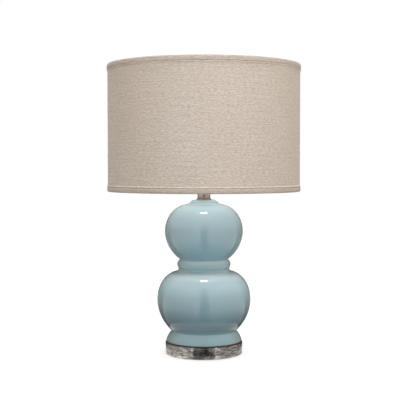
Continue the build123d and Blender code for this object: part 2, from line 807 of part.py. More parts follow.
def build_lamp():
    """Every piece under its node's name; like pieces share a node."""
    ceramic = ceramic_body()
    arms = spider_arms()
    top_ring, bottom_ring = shade_rings()
    washer_z = pocket_z - washer_thickness
    pipe_hole = pipe_radius + hole_gap
    return {
        "bumper_feet": bumper_feet(),
        "acrylic_base": acrylic_base(),
        "base_gasket": base_gasket(),
        "ceramic_body": ceramic,
        "cord_bushing": cord_bushing(ceramic),
        "lamp_pipe": lamp_pipe(),
        "base_washer": tube(washer_radius, pipe_hole, washer_z, pocket_z),
        "base_lock_washer": tube(
            lock_washer_radius, pipe_hole, washer_z - lock_washer_thickness, washer_z
        ),
        "base_nut": hex_nut(nut_z(), base_nut_height),
        "centring_washer": tube(
            collar_hole_radius - hole_gap, pipe_hole, neck_z - centring_height, neck_z
        ),
        "neck": neck(),
        "harp_saddle": harp_saddle(),
        "saddle_nut": hex_nut(saddle_nut_z, saddle_nut_height),
        "socket_cap": socket_cap(),
        "socket_set_screw": socket_set_screw(),
        "socket_shell": socket_shell(),
        "socket_liner": socket_liner(),
        "socket_core": socket_core(),
        "terminal_screws": terminal_screws(),
        "screw_shell": screw_shell(),
        "centre_contact": centre_contact(),
        "switch_spindle": switch_spindle(),
        "switch_knob": switch_knob(),
        "bulb_contact": bulb_contact(),
        "bulb_screw": bulb_screw(),
        "bulb_glass": bulb_envelope(),
        "harp": harp(),
        "harp_sleeve_left": harp_sleeve(-1),
        "harp_sleeve_right": harp_sleeve(1),
        "swivel_stud": swivel_stud(),
        "spider_hub": spider_hub(),
        "spider_arms": arms,
        "shade_top_ring": top_ring,
        "shade_bottom_ring": bottom_ring,
        "shade_liner": shade_liner(),
        "shade_fabric": shade_fabric(),
        "shade_top_trim": top_trim(arms),
        "shade_bottom_trim": bottom_trim(),
        "finial": finial(),
    }


os.makedirs("parts", exist_ok=True)
for node, piece in build_lamp().items():
    solids = piece if isinstance(piece, list) else piece.solids()
    export_step(Compound(children=list(solids)), f"parts/{node}.step")
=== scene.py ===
import math

import bpy
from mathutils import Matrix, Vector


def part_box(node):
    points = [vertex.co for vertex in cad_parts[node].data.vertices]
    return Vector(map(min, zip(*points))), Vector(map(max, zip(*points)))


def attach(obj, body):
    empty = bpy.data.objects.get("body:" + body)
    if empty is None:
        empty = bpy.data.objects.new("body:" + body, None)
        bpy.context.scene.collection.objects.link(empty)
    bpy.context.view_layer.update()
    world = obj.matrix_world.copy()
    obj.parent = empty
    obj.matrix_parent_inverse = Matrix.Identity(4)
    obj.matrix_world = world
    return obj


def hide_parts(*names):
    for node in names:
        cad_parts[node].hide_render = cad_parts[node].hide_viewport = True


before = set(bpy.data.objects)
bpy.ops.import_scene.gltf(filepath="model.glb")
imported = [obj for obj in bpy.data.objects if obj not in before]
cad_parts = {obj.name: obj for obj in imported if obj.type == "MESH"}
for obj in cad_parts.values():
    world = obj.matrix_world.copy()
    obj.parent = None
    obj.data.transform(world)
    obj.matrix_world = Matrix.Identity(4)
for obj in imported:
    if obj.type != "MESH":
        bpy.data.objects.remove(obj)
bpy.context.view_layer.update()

# A table lamp: a double gourd of glazed ceramic on a clear acrylic disc, under a linen drum shade.
# The sections follow the lamp as it is put together, from the bumpers up to the finial.
# Outlines and the sizes of pieces and patterns are in millimetres; the rest is in metres.

# ---------------------------------------------------------------- camera
# A long lens stands just under two metres off, a little above the shade's lower rim, and looks
# down slightly. The lamp stands a few pixels left of the picture's centre.
camera_distance = 1.905
camera_height = 0.379
camera_tilt = math.radians(2.62)
lens_mm = 82.64
film_mm = 36.0
picture_px = 416
lamp_axis_px = 203.9
focal_px = lens_mm / film_mm * picture_px
camera_turn = math.atan((picture_px / 2 - lamp_axis_px) / focal_px)

bpy.ops.object.select_all(action="DESELECT")
bpy.ops.object.camera_add(
    location=(0, -camera_distance, camera_height),
    rotation=(math.pi / 2 - camera_tilt, 0, -camera_turn),
)
camera = bpy.context.object
camera.name = "camera"
camera.data.lens = lens_mm
camera.data.sensor_width = film_mm
bpy.context.scene.camera = camera
bpy.context.scene.view_settings.view_transform = "Standard"


# ---------------------------------------------------------------- floor, room and lamps
# A white table top that runs out into a white room. Bowed panels stand round the lamp, out of the
# camera's sight. Some of them light it. The others only show in the glaze, the metal and the clear
# base: bright boards to both sides, a dim one round the camera, a dark one behind, and a slatted
# wall that breaks into streaks in the clear base.
MM = 0.001
weld = 0.005 * MM
sharp_from = math.radians(38)

floor_radius = 6.0
floor_drop = 0.2 * MM
floor_grey = "#747576"
floor_glow_near, floor_glow_far = 0.84, 1.0
glow_from, glow_to = 0.3, 0.9
# The floor's glow is cut out under the disc, with a soft edge: a painted shadow.
painted_shadow_under_disc, painted_shadow_edge = 0.06, 0.015
room_white = "#ffffff"
room_low, room_high = 0.0, 0.05

panel_distance = 1.8
left_warmth, right_warmth, front_warmth = "#ffdd9c", "#ffe5b0", "#fff7ec"
table_light = 0.65
board_height = 2.0
board_first, board_last = 10.0, 114.0
board_turn = 1.4
board_left, board_right = 1.35, 1.3
table_left, table_right = 1.7, 1.6
gap_level = 0.05
table_dimming = 5
table_near, table_far = 0.13, 0.45
edge_last = 150.0
edge_left, edge_right, edge_back = 0.42, 0.44, 0.03
slat_distance = 1.3
slat_height = 0.07
slat_first, slat_last = 100.0, 260.0
slat_levels = [0.4, 1.5, 0.5, 1.0, 0.4, 1.5, 0.5, 0.9, 0.4, 1.4, 0.4, 1.1, 0.4, 1.3, 0.5]
slat_white = "#fffaf2"
slats_left = 0.6
base_clear = 84.0


def colour(text):
    """A hex colour as the eye sees it, turned to the linear one that the renderer uses."""
    parts = [int(text[n:n + 2], 16) / 255 for n in (1, 3, 5)]
    return (*[p / 12.92 if p <= 0.04045 else ((p + 0.055) / 1.055) ** 2.4 for p in parts], 1.0)


def add(tree, kind, feeds=None, **settings):
    """Add a node with its settings, and give each named input a value or another node's output."""
    made = tree.nodes.new(kind)
    for name, value in settings.items():
        setattr(made, name, value)
    for key, value in (feeds or {}).items():
        if isinstance(value, bpy.types.NodeSocket):
            tree.links.new(value, made.inputs[key])
        else:
            made.inputs[key].default_value = value
    return made


def seen_directly(tree):
    """One where a ray comes from the camera, a reflection or through glass, and zero elsewhere."""
    path = add(tree, "ShaderNodeLightPath").outputs
    rays = {0: path["Is Camera Ray"], 1: path["Is Glossy Ray"]}
    either = add(tree, "ShaderNodeMath", rays, operation="MAXIMUM").outputs[0]
    rays = {0: either, 1: path["Is Transmission Ray"]}
    return add(tree, "ShaderNodeMath", rays, operation="MAXIMUM").outputs[0]


def turned(name, outline, steps=160, closed=True, first=0.0, sweep=360.0):
    """Turn an outline of (radius, height) about the lamp's axis, as on a lathe.

    It starts at an angle in degrees, counted from the lamp's right side towards its back.
    """
    bpy.ops.object.select_all(action="DESELECT")
    bpy.ops.mesh.primitive_circle_add(vertices=3, radius=0.001)
    piece = bpy.context.object
    piece.name = name
    piece.data.name = name
    bpy.ops.object.mode_set(mode="EDIT")
    bpy.ops.mesh.merge(type="CENTER")
    bpy.ops.mesh.select_all(action="SELECT")
    out = (math.cos(math.radians(first)) * MM, math.sin(math.radians(first)) * MM)
    path = outline + ([outline[0]] if closed else [])
    bpy.ops.transform.translate(value=(path[0][0] * out[0], path[0][0] * out[1], path[0][1] * MM))
    for here, there in zip(path, path[1:]):
        wider = there[0] - here[0]
        move = (wider * out[0], wider * out[1], (there[1] - here[1]) * MM)
        bpy.ops.mesh.extrude_region_move(TRANSFORM_OT_translate={"value": move})
    bpy.ops.mesh.select_all(action="SELECT")
    bpy.ops.mesh.spin(steps=steps, angle=math.radians(sweep), center=(0, 0, 0), axis=(0, 0, -1))
    bpy.ops.mesh.select_all(action="SELECT")
    bpy.ops.mesh.remove_doubles(threshold=weld)
    bpy.ops.mesh.normals_make_consistent(inside=False)
    bpy.ops.object.mode_set(mode="OBJECT")
    bpy.ops.object.shade_smooth_by_angle(angle=sharp_from)
    return piece


bpy.ops.mesh.primitive_circle_add(
    vertices=96, radius=floor_radius, fill_type="NGON", location=(0, 0, -floor_drop)
)
floor = bpy.context.object
floor.name = "floor"

# White laminate, lit so far that it runs into the room: grey where it lights the lamp from below,
# white where it is seen, dark under the disc, where its glow is cut out as a painted shadow, and
# clear from beneath.
table_top = bpy.data.materials.new("white_table_top")
table_top.use_nodes = True
tree = table_top.node_tree
tree.nodes.clear()
matt = add(tree, "ShaderNodeBsdfDiffuse", {"Color": colour(floor_grey)}).outputs[0]
place = add(tree, "ShaderNodeTexCoord").outputs["Object"]
away = add(tree, "ShaderNodeVectorMath", {0: place}, operation="LENGTH").outputs["Value"]
near = {"From Min": glow_from, "From Max": glow_to, "To Min": floor_glow_near, "To Max": floor_glow_far}
level = add(tree, "ShaderNodeMapRange", {"Value": away, **near}).outputs[0]
# No glow under the disc: a painted shadow.
clear = {"Value": away, "From Min": painted_shadow_under_disc, "From Max": painted_shadow_under_disc + painted_shadow_edge}
clear = add(tree, "ShaderNodeMapRange", clear).outputs[0]
level = add(tree, "ShaderNodeMath", {0: level, 1: clear}, operation="MULTIPLY").outputs[0]
fill = add(tree, "ShaderNodeMath", {0: seen_directly(tree), 1: level}, operation="MULTIPLY").outputs[0]
glow = add(tree, "ShaderNodeEmission", {"Color": colour(room_white), "Strength": fill}).outputs[0]
both = add(tree, "ShaderNodeAddShader", {0: matt, 1: glow}).outputs[0]
under = add(tree, "ShaderNodeNewGeometry").outputs["Backfacing"]
nothing = add(tree, "ShaderNodeBsdfTransparent").outputs[0]
from_under = add(tree, "ShaderNodeMixShader", {0: under, 1: both, 2: nothing}).outputs[0]
add(tree, "ShaderNodeOutputMaterial", {"Surface": from_under})
floor.data.materials.append(table_top)

room = bpy.data.worlds.new("white_room")
bpy.context.scene.world = room
room.use_nodes = True
tree = room.node_tree
tree.nodes.clear()
ray = add(tree, "ShaderNodeTexCoord").outputs["Generated"]
ray = add(tree, "ShaderNodeSeparateXYZ", {0: ray}).outputs["Z"]
dome = add(tree, "ShaderNodeMapRange", {"Value": ray, "To Min": room_low, "To Max": room_high}).outputs[0]
# A Mix node numbers its inputs: 0 is the share, 2 and 3 are the numbers and 6 and 7 the colours.
level = {0: seen_directly(tree), 2: dome, 3: 1.0}
level = add(tree, "ShaderNodeMix", level, data_type="FLOAT").outputs[0]
sky = add(tree, "ShaderNodeBackground", {"Color": colour(room_white), "Strength": level}).outputs[0]
add(tree, "ShaderNodeOutputWorld", {"Surface": sky})


def panel(name, outline, first, last, role, level, tint=room_white, foot=None, near=0.0, far=1.0):
    """A bowed panel between two turns to the right of the camera, which only takes part in one role.

    It glows at one level. Given a lower one for its foot, it rises from that to the other between
    two distances from the lamp, near and far.
    """
    board = turned(name, outline, steps=24, closed=False, first=first - 90, sweep=last - first)
    coat = bpy.data.materials.new(name)
    coat.use_nodes = True
    tree = coat.node_tree
    tree.nodes.clear()
    place = add(tree, "ShaderNodeTexCoord").outputs["Object"]
    away = add(tree, "ShaderNodeVectorMath", {0: place}, operation="LENGTH").outputs["Value"]
    foot = level if foot is None else foot
    rise = {"Value": away, "From Min": near, "From Max": far, "To Min": foot, "To Max": level}
    strength = add(tree, "ShaderNodeMapRange", rise).outputs[0]
    glow = add(tree, "ShaderNodeEmission", {"Color": colour(tint), "Strength": strength})
    add(tree, "ShaderNodeOutputMaterial", {"Surface": glow.outputs[0]})
    board.data.materials.append(coat)
    board.visible_camera = False
    board.visible_shadow = False
    board.visible_diffuse = role == "lit"
    board.visible_glossy = role == "mirrored"
    board.visible_transmission = role == "seen_through"


def upright(distance, low, high):
    """The outline of a wall that stands at a distance from the lamp, all in metres."""
    return [(distance / MM, low / MM), (distance / MM, high / MM)]


def lying(first_mm, height_mm):
    """The outline of a sheet that lies at a height, from a radius out to the panels."""
    return [(first_mm, height_mm), (panel_distance / MM, height_mm)]


for name, first, last, low, high, level, tint in (
    ("front_low", -20.0, 20.0, 0.0, 0.6, 1.0, room_white),
    ("front_middle", -20.0, 20.0, 0.6, 1.4, 4.7, room_white),
    ("front_high", -20.0, 20.0, 1.4, 2.4, 3.5, room_white),
    ("front_right", 20.0, 65.0, 0.6, 2.4, 1.4, front_warmth),
    ("left", -110.0, -65.0, 0.0, 1.8, 0.75, left_warmth),
    ("right", 65.0, 110.0, 0.0, 1.8, 0.72, right_warmth),
    ("back", 110.0, 250.0, 0.0, 1.8, 0.8, room_white),
):
    panel(f"light_{name}", upright(panel_distance, low, high), first, last, "lit", level, tint)
panel("light_table", lying(350.0, 1.5), -120.0, 120.0, "lit", table_light)

wall = upright(panel_distance, 0.0, board_height)
board_table = lying(130.0, 1.0)
for name, first, last, level, table_level in (
    ("right", board_turn + board_first, board_last, board_right, table_right),
    ("left", -board_last, board_turn - board_first, board_left, table_left),
    ("gap", board_turn - board_first, board_turn + board_first, gap_level, gap_level),
):
    panel(f"board_{name}", wall, first, last, "mirrored", level)
    rise = {"foot": table_level / table_dimming, "near": table_near, "far": table_far}
    panel(f"table_board_{name}", board_table, first, last, "mirrored", table_level, **rise)
for name, first, last, level in (
    ("right", board_last, edge_last, edge_right),
    ("left", -edge_last, -board_last, edge_left),
    ("back", edge_last, 360 - edge_last, edge_back),
):
    panel(f"card_{name}", wall, first, last, "mirrored", level)
panel(
    "card_table", board_table, board_last, 360 - board_last, "mirrored", 0.4,
    foot=0.05, near=table_near, far=0.6,
)

slat_table = lying(base_clear, 1.2)
panel(
    "slat_table", slat_table, slat_first, slat_last, "seen_through", 0.3, slat_white,
    foot=0.12, near=0.1, far=0.5,
)
for n, level in enumerate(slat_levels):
    slat = upright(slat_distance, n * slat_height, (n + 1) * slat_height)
    for side, first, last, share in (
        ("right", slat_first, 180.0, 1.0),
        ("left", 180.0, slat_last, slats_left),
    ):
        panel(f"slat_{side}_{n + 1}", slat, first, last, "seen_through", level * share, slat_white)


def lamp_above(name, place, width, depth, brightness):
    """A flat lamp that faces down, as bright as a surface of that radiance."""
    bpy.ops.object.light_add(type="AREA", location=place)
    lamp = bpy.context.object
    lamp.name = name
    lamp.data.shape = "RECTANGLE"
    lamp.data.size = width
    lamp.data.size_y = depth
    lamp.data.energy = brightness * math.pi * width * depth
    return lamp


lamp_above("overhead_spot", place=(0, -0.25, 2.2), width=0.42, depth=0.17, brightness=44.0)
key = lamp_above("overhead_key", place=(0, -0.1, 2.2), width=1.1, depth=1.1, brightness=12.5)
key.visible_glossy = False


# ---------------------------------------------------------------- bumpers
# Four clear polyurethane domes, peeled off a backing sheet and stuck under the acrylic near its
# rim. They keep it off the table and stop it from sliding.
def finish_material(name):
    """A new material with a principled shader: the material, its node tree and the shader."""
    made = bpy.data.materials.new(name)
    made.use_nodes = True
    made.node_tree.nodes.clear()
    shader = add(made.node_tree, "ShaderNodeBsdfPrincipled")
    add(made.node_tree, "ShaderNodeOutputMaterial", {"Surface": shader.outputs[0]})
    return made, made.node_tree, shader


def grain(tree, size_mm, detail=3.0, stretch=(1, 1, 1)):
    """A noise on the piece itself whose grains are about a given size in millimetres."""
    place = add(tree, "ShaderNodeTexCoord").outputs["Object"]
    scaled = add(tree, "ShaderNodeMapping", {"Vector": place, "Scale": stretch}).outputs[0]
    noise = {"Vector": scaled, "Scale": 1 / (size_mm * MM), "Detail": detail}
    return add(tree, "ShaderNodeTexNoise", noise).outputs[0]


def wear(piece, coat):
    """Give a piece one material in place of whatever it had."""
    piece.data.materials.clear()
    piece.data.materials.append(coat)


# Cast polyurethane: clear, but hazy on its soft skin, so that it shows as a dull pale dome.
clear_rubber, tree, shader = finish_material("clear_polyurethane")
shader.inputs["Base Color"].default_value = colour("#e8eaea")
shader.inputs["Transmission Weight"].default_value = 0.7
shader.inputs["IOR"].default_value = 1.5
dull = {"Value": grain(tree, 2.0), "To Min": 0.25, "To Max": 0.45}
dull = add(tree, "ShaderNodeMapRange", dull).outputs[0]
tree.links.new(dull, shader.inputs["Roughness"])
wear(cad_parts["bumper_feet"], clear_rubber)


# ---------------------------------------------------------------- acrylic base
# A disc sawn and turned from cast acrylic, flame polished on its rim, with a pocket bored in its
# underside for the nut. It carries the lamp and is clamped to it by the pipe.
base_low, base_high = [[v / MM for v in corner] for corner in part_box("acrylic_base")]
base_radius = base_high[0]
rim_round = 1.2
pocket_radius = 23.0
pocket_depth = 14.0
pipe_hole = 5.15
edge_shade_tones = ((0.0, "#8d8782"), (0.07, "#e9e8e5"), (0.95, "#e9e8e5"), (1.0, "#a09a94"))
streak_reflection_tones = ((0.44, "#67625e"), (0.56, "#ffffff"))


def arc(centre, radius, first, last, count=8):
    """Points on an arc between two angles in degrees, measured from straight out."""
    turns = [math.radians(first + (last - first) * n / count) for n in range(count + 1)]
    return [(centre[0] + radius * math.cos(t), centre[1] + radius * math.sin(t)) for t in turns]


def lay_tones(ramp, stops):
    """Fill a new colour ramp, from stops in rising order, each a share of its run and a hex colour."""
    for n, (share, text) in enumerate(stops):
        stop = ramp.elements[n] if n < 2 else ramp.elements.new(share)
        stop.position = share
        stop.color = colour(text)


low, high = base_low[2], base_high[2]
rim = base_radius - rim_round
disc_outline = [
    (pipe_hole, high),
    *arc((rim, high - rim_round), rim_round, 90, 0, 5),
    *arc((rim, low + rim_round), rim_round, 0, -90, 5),
    (pocket_radius, low),
    (pocket_radius, low + pocket_depth),
    (pipe_hole, low + pocket_depth),
]
acrylic_disc = turned("acrylic_disc", disc_outline, steps=192)

# Cast acrylic, polished: clear. A darker line along both edges is painted shade, where the disc
# meets the table and the gourd. Level smoky streaks in its tint stand in for the streaky reflections
# and the broken view through it that faint saw and polishing marks give: painted reflection. The
# marks are too fine to show, so they are drawn as clouds about 13 mm long and 2 mm high.
cast_acrylic, tree, shader = finish_material("cast_acrylic_polished")
shader.inputs["Transmission Weight"].default_value = 1.0
shader.inputs["IOR"].default_value = 1.49
shader.inputs["Roughness"].default_value = 0.02
place = add(tree, "ShaderNodeTexCoord").outputs["Object"]
# Darker along the top and bottom edges: painted shade.
level = add(tree, "ShaderNodeSeparateXYZ", {0: place}).outputs["Z"]
tall = {"Value": level, "From Min": low * MM, "From Max": high * MM}
edges = add(tree, "ShaderNodeValToRGB", {"Fac": add(tree, "ShaderNodeMapRange", tall).outputs[0]})
lay_tones(edges.color_ramp, edge_shade_tones)
# Dark level streaks in the tint: painted reflection.
painted_streaks = add(tree, "ShaderNodeValToRGB", {"Fac": grain(tree, 13.0, detail=2.0, stretch=(1, 1, 5.5))})
lay_tones(painted_streaks.color_ramp, streak_reflection_tones)
edge_shade_and_streaks = {0: 1.0, 6: edges.outputs[0], 7: painted_streaks.outputs[0]}
edge_shade_and_streaks = add(tree, "ShaderNodeMix", edge_shade_and_streaks, data_type="RGBA", blend_type="MULTIPLY")
tree.links.new(edge_shade_and_streaks.outputs[2], shader.inputs["Base Color"])
marks = grain(tree, 16.0, stretch=(1, 1, 7.0))
ripple = add(tree, "ShaderNodeBump", {"Height": marks, "Strength": 0.8, "Distance": 0.5 * MM})
tree.links.new(ripple.outputs[0], shader.inputs["Normal"])
wear(acrylic_disc, cast_acrylic)
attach(acrylic_disc, "base")
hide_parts("acrylic_base")


# ---------------------------------------------------------------- gasket
# A thin ring of dark brown rubber, cut from sheet. It lies between the foot and the disc, keeps
# the bare clay off the acrylic and takes up what is out of true.
def mottled(name, size_mm, dark, light, detail=3.0, stretch=(1, 1, 1), shares=(0.0, 1.0)):
    """A finish that drifts between two tones: its material, node tree, shader and pattern."""
    made, tree, shader = finish_material(name)
    pattern = grain(tree, size_mm, detail, stretch)
    tone = add(tree, "ShaderNodeValToRGB", {"Fac": pattern})
    lay_tones(tone.color_ramp, ((shares[0], dark), (shares[1], light)))
    tree.links.new(tone.outputs[0], shader.inputs["Base Color"])
    return made, tree, shader, pattern


# Rubber sheet, rolled and cut: nearly black and matt, with faint brown patches.
gasket_rubber, tree, shader, _ = mottled("brown_rubber_sheet", 3.0, "#33261f", "#4a382f")
shader.inputs["Roughness"].default_value = 0.7
wear(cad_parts["base_gasket"], gasket_rubber)


# ---------------------------------------------------------------- ceramic body
# A slip-cast double gourd with a foot ring, a waist ring and a collar, cast to an even wall and
# dipped in a glossy pale aqua glaze. The glaze rounds every crease. The gourd stands on the
# gasket and is held down by the pipe. Its points are (radius, height above its foot).
ceramic_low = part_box("ceramic_body")[0][2] / MM
shell = 6.0
foot_bore = 63.4
foot_land = (73.4, 0.0)
foot_wide = (75.6, 2.0)
foot_crease = (64.4, 20.7)
lower_mid = (93.3, 83.7)
lower_depth_below, lower_depth_above = 120.9, 42.7
shoulder = (57.6, 138.8)
waist = (50.7, 143.7)
ring_foot = (50.7, 145.5)
upper_crease = (47.9, 163.3)
upper_mid = (77.5, 220.0)
upper_depth_below, upper_depth_above = 80.0, 46.8
collar_cove = (38.2, 272.3)
collar_root = (28.8, 276.2)
collar_top = (19.5, 281.9)
collar_hole = 10.2
crease_round = 1.3
inlet_rise = 32.4
cord_hole_radius = 5.2
drill_length = 24.0
# Tones of the glaze by height. They paint shade under the lower gourd and in the waist, and light over
# the shoulder, on the ring's upper edge and under the upper gourd.
glaze_light_and_shade_run = (
    (0.0, "#8ba8b1"),  # edge of the foot
    (24.0, "#93b2bb"),  # above the foot's crease
    (36.0, "#718f98"),  # the lower gourd's underside, painted shade
    (70.0, "#85a4ae"),
    (98.0, "#8aa5ad"),
    (124.0, "#94a9b1"),
    (138.0, "#b3c3c8"),  # painted light over the shoulder
    (143.0, "#7e9aa2"),  # painted shade in the waist crease, where the glaze also pools
    (149.0, "#92b0b8"),  # the waist ring
    (154.0, "#86a2a9"),
    (161.0, "#a6bbc0"),  # painted light on the ring's upper edge
    (165.0, "#93b2bb"),  # painted light on the upper gourd's underside
    (176.0, "#8aaeba"),
    (225.0, "#8fa9b1"),
    (258.0, "#9aaeb4"),
    (281.0, "#a0b7bd"),  # the collar
)
glaze_drift = 3.0


def swell(middle, end, depth, count=26):
    """Points of a gourd's curve, from an end to its widest point or the other way round."""
    turn = math.acos((end[0] - middle[0] + depth) / depth)
    rise = (end[1] - middle[1]) / math.sin(turn)
    steps = [turn * n / count for n in range(count + 1)]
    points = [
        (middle[0] - depth + depth * math.cos(t), middle[1] + rise * math.sin(t)) for t in steps
    ]
    return points if end[1] > middle[1] else points[::-1]


def inner_swell(middle, end, depth):
    """Points of the same curve one wall further in, from the top down."""
    return reversed(swell((middle[0] - shell, middle[1]), end, depth - shell))


def bowed(start, end, bow, count=10):
    """Points of a shallow arc that stands a given height off its chord, to the right."""
    reach = math.dist(start, end)
    across = ((end[1] - start[1]) / reach, (start[0] - end[0]) / reach)
    shares = [n / count for n in range(count + 1)]
    return [
        (
            start[0] + (end[0] - start[0]) * s + across[0] * 4 * bow * s * (1 - s),
            start[1] + (end[1] - start[1]) * s + across[1] * 4 * bow * s * (1 - s),
        )
        for s in shares
    ]


def towards(start, end, reach):
    """The point at a given reach from one point towards another."""
    share = reach / math.dist(start, end)
    return [start[n] + (end[n] - start[n]) * share for n in (0, 1)]


def eased(stretches, ease):
    """Join stretches of an outline, with each corner between them rounded over a short length."""
    whole = list(stretches[0])
    for stretch in stretches[1:]:
        corner = stretch[0]
        while len(whole) > 1 and math.dist(whole[-1], corner) < ease:
            whole.pop()
        rest = list(stretch)
        while len(rest) > 1 and math.dist(rest[0], corner) < ease:
            rest.pop(0)
        before = towards(corner, whole[-1], ease)
        after = towards(corner, rest[0], ease)
        for s in (0.0, 0.25, 0.5, 0.75, 1.0):
            parts = ((1 - s) ** 2, 2 * s * (1 - s), s**2)
            whole.append(tuple(
                before[n] * parts[0] + corner[n] * parts[1] + after[n] * parts[2] for n in (0, 1)
            ))
        whole += rest
    return whole


outside = eased(
    [
        bowed(foot_land, foot_wide, 0.5, 6),
        bowed(foot_wide, foot_crease, 1.2, 14),
        swell(lower_mid, foot_crease, lower_depth_below),
        swell(lower_mid, shoulder, lower_depth_above),
        bowed(shoulder, waist, -1.2, 6),
        [waist, ring_foot],
        bowed(ring_foot, upper_crease, 3.9, 16),
        swell(upper_mid, upper_crease, upper_depth_below),
        swell(upper_mid, collar_cove, upper_depth_above),
        bowed(collar_cove, collar_root, -0.9, 6),
        bowed(collar_root, collar_top, 0.9, 8),
    ],
    crease_round,
)
ceiling = collar_cove[1] - shell
inner_waist = upper_crease[0] - shell
inside = [
    (collar_hole, collar_top[1]),
    (collar_hole, ceiling),
    *inner_swell(upper_mid, (collar_cove[0], ceiling), upper_depth_above),
    *inner_swell(upper_mid, (inner_waist, upper_crease[1]), upper_depth_below),
    (inner_waist, waist[1]),
    *inner_swell(lower_mid, (shoulder[0], shoulder[1] - shell), lower_depth_above),
    *inner_swell(lower_mid, (foot_crease[0] - shell, foot_crease[1]), lower_depth_below),
    (foot_bore, 0.0),
]
gourd_outline = [(r, z + ceramic_low) for r, z in outside + inside]
gourd = turned("ceramic_gourd", gourd_outline, steps=192)

# The cord's hole is cut through the back wall while the clay is soft, square to the curve.
inlet_height = ceramic_low + inlet_rise
foot_turn = math.acos((foot_crease[0] - lower_mid[0] + lower_depth_below) / lower_depth_below)
lower_semi = (lower_mid[1] - foot_crease[1]) / math.sin(foot_turn)
inlet_share = (lower_mid[1] + ceramic_low - inlet_height) / lower_semi
inlet_reach = lower_mid[0] - lower_depth_below + lower_depth_below * math.sqrt(1 - inlet_share**2)
inlet_slope = math.atan2(
    inlet_share / lower_semi, (inlet_reach - lower_mid[0] + lower_depth_below) / lower_depth_below**2
)
bpy.ops.mesh.primitive_cylinder_add(
    vertices=48, radius=cord_hole_radius * MM, depth=drill_length * MM,
    location=(0, inlet_reach * MM, inlet_height * MM), rotation=(math.pi / 2 - inlet_slope, 0, 0),
)
drill = bpy.context.object
cut = gourd.modifiers.new("cord_hole", "BOOLEAN")
cut.object = drill
cut.operation = "DIFFERENCE"
bpy.context.view_layer.objects.active = gourd
bpy.ops.object.modifier_apply(modifier="cord_hole")
bpy.data.objects.remove(drill)

# A glossy fired glaze over pale clay: it mirrors the boards sharply and shows a faint orange peel.
# Its tint runs with height and paints light and shade: painted shade under the lower gourd and in
# the waist crease, where the glaze also pools, and painted light over the shoulder, on the ring's
# upper edge and under the upper gourd.
aqua_glaze, tree, shader = finish_material("aqua_glazed_ceramic")
place = add(tree, "ShaderNodeTexCoord").outputs["Object"]
level = add(tree, "ShaderNodeSeparateXYZ", {0: place}).outputs["Z"]
flow = grain(tree, 38.0, detail=2.0, stretch=(1, 1, 0.45))
flow = {0: flow, 1: 2 * glaze_drift * MM, 2: -glaze_drift * MM}
drift = add(tree, "ShaderNodeMath", flow, operation="MULTIPLY_ADD").outputs[0]
run = add(tree, "ShaderNodeMath", {0: level, 1: drift}, operation="ADD").outputs[0]
# The tint by height is painted light and painted shade.
whole = {"Value": run, "From Min": ceramic_low * MM, "From Max": (ceramic_low + collar_top[1]) * MM}
tint = add(tree, "ShaderNodeValToRGB", {"Fac": add(tree, "ShaderNodeMapRange", whole).outputs[0]})
lay_tones(tint.color_ramp, [(height / collar_top[1], text) for height, text in glaze_light_and_shade_run])
tree.links.new(tint.outputs[0], shader.inputs["Base Color"])
shader.inputs["Roughness"].default_value = 0.06
shader.inputs["IOR"].default_value = 1.52
peel = grain(tree, 6.0, detail=1.0)
skin = add(tree, "ShaderNodeBump", {"Height": peel, "Strength": 0.05, "Distance": 0.3 * MM})
tree.links.new(skin.outputs[0], shader.inputs["Normal"])
wear(gourd, aqua_glaze)
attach(gourd, "base")
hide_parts("ceramic_body")


# ---------------------------------------------------------------- cord bushing
# A moulded nylon bushing that the cord comes in through. It is pushed into the hole at the back,
# low in the lower gourd, and its flange follows the wall.

# Moulded nylon: plain mid grey with a soft shine. Its specks are drawn a millimetre wide to show.
nylon, tree, shader, _ = mottled("moulded_grey_nylon", 1.2, "#8d9394", "#9aa0a1")
shader.inputs["Roughness"].default_value = 0.45
wear(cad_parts["cord_bushing"], nylon)


# ---------------------------------------------------------------- pipe, washers and nuts
# The steel pipe that runs through the lamp and clamps it, with its washers, its two nuts and the
# socket's set screw, all zinc plated in a barrel. The pipe is shown without its thread.
def metal(name, size_mm, dark, light, polish, **pattern):
    """A bare or plated metal between two tones, with its roughness for the dark and the light one."""
    made, tree, shader, shade = mottled(name, size_mm, dark, light, **pattern)
    shader.inputs["Metallic"].default_value = 1.0
    rough = add(tree, "ShaderNodeMapRange", {"Value": shade, "To Min": polish[0], "To Max": polish[1]})
    tree.links.new(rough.outputs[0], shader.inputs["Roughness"])
    return made


# Zinc plate over steel: cool pale grey and half dull, with small spangles.
zinc = metal("zinc_plated_steel", 1.6, "#a7a6a0", "#c3c2bb", (0.28, 0.42))
for node in (
    "lamp_pipe", "base_washer", "base_lock_washer", "base_nut", "centring_washer", "saddle_nut",
    "socket_set_screw",
):
    wear(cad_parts[node], zinc)


